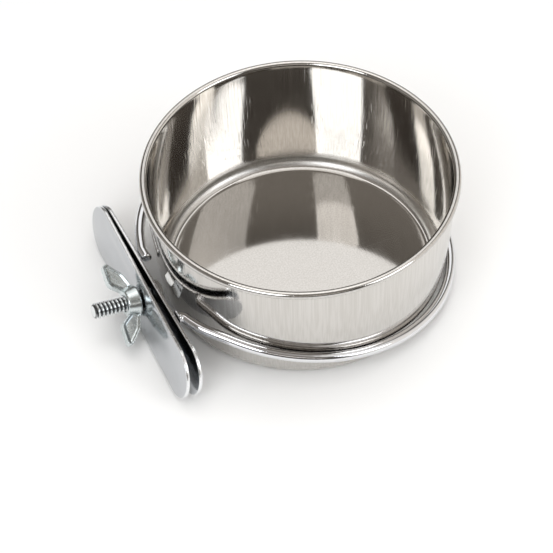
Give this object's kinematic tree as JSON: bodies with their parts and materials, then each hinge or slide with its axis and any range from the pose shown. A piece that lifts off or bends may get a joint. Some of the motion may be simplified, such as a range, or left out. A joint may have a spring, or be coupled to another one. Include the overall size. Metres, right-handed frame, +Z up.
{
  "type": "clamp-on crate bowl",
  "caption": "Steel feeding bowl with a rolled rim, standing in an open wire ring that clamps to crate bars between two plates drawn together by a wing nut.",
  "frame": {"origin": "The middle of the bowl's base, on the floor that the bowl stands on.", "axes": "+Z is up. The clamp is on the -X side, and its bolt points along -X and slightly up. The plates are long along Y."},
  "size_m": [0.1461, 0.1246, 0.053],
  "materials": {
    "stainless": "polished, with fine drawing lines on the wall",
    "bright_wire": "bright plated wire",
    "plate_zinc": "satin zinc",
    "screw_zinc": "bright zinc"
  },
  "bodies": {
    "holder": {"holder_ring": "bright_wire", "fixed_clamp_plate": "plate_zinc", "clamp_bolt": "screw_zinc"},
    "bowl": {"feeding_bowl": "stainless"},
    "jaw": {"loose_clamp_plate": "plate_zinc"},
    "nut": {"wing_nut": "screw_zinc"}
  },
  "joints": [
    {"name": "bowl_lift", "type": "slide", "parent": "holder", "child": "bowl", "axis": [0, 0, 1], "range_m": [0, 0.045]},
    {"name": "jaw_slide", "type": "slide", "parent": "holder", "child": "jaw", "axis": [-0.9863, 0, 0.165], "range_m": [-0.00013, 0.0128]},
    {"name": "nut_turn", "type": "hinge", "parent": "jaw", "child": "nut", "pos_m": [-0.0678, 0.00259, 0.01245], "axis": [-0.9863, 0, 0.165], "range_deg": [-31, 2881]}
  ],
  "couplings": [
    {"joint": "nut_turn", "follows": "jaw_slide", "rad_per_m": 3927}
  ]
}
